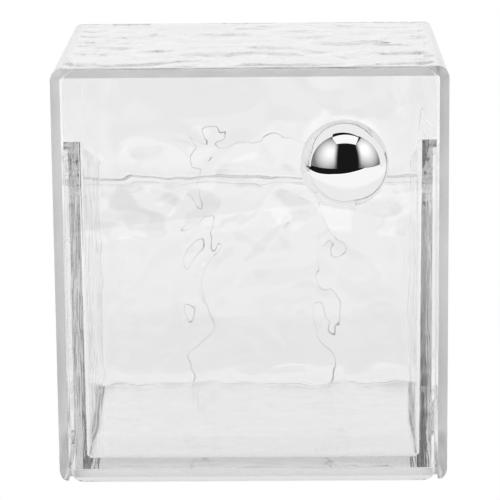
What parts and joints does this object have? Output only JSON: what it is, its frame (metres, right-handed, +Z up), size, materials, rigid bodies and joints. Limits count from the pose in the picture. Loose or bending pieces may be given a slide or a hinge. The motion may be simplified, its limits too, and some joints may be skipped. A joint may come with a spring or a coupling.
{
  "type": "cotton pad holder with drawer",
  "caption": "Clear ripple-textured box with a pull-out drawer for cotton pads: open-fronted case, tray with a flat full-height front panel, and a plated ball knob held by a screw.",
  "frame": {"origin": "bottom centre of the whole object, knob included, with the drawer shut; Z = 0 is the table", "axes": "+X to the right of someone facing the drawer front, +Y away from them towards the back, +Z up"},
  "size_m": [0.105, 0.1102, 0.113],
  "materials": {
    "clear_case": "clear moulded styrene or acrylic, water-ripple texture, glossy",
    "clear_drawer": "clear moulded styrene or acrylic, smooth front panel, rippled tray, glossy",
    "plated_ball": "bright silver plating",
    "plated_screw": "zinc-plated steel"
  },
  "bodies": {
    "case": {"case": "clear_case"},
    "drawer": {"drawer": "clear_drawer", "ball_knob": "plated_ball", "knob_screw": "plated_screw"}
  },
  "joints": [
    {"name": "drawer_slide", "type": "slide", "parent": "case", "child": "drawer", "axis": [0, -1, 0], "range_m": [0, 0.068]}
  ]
}
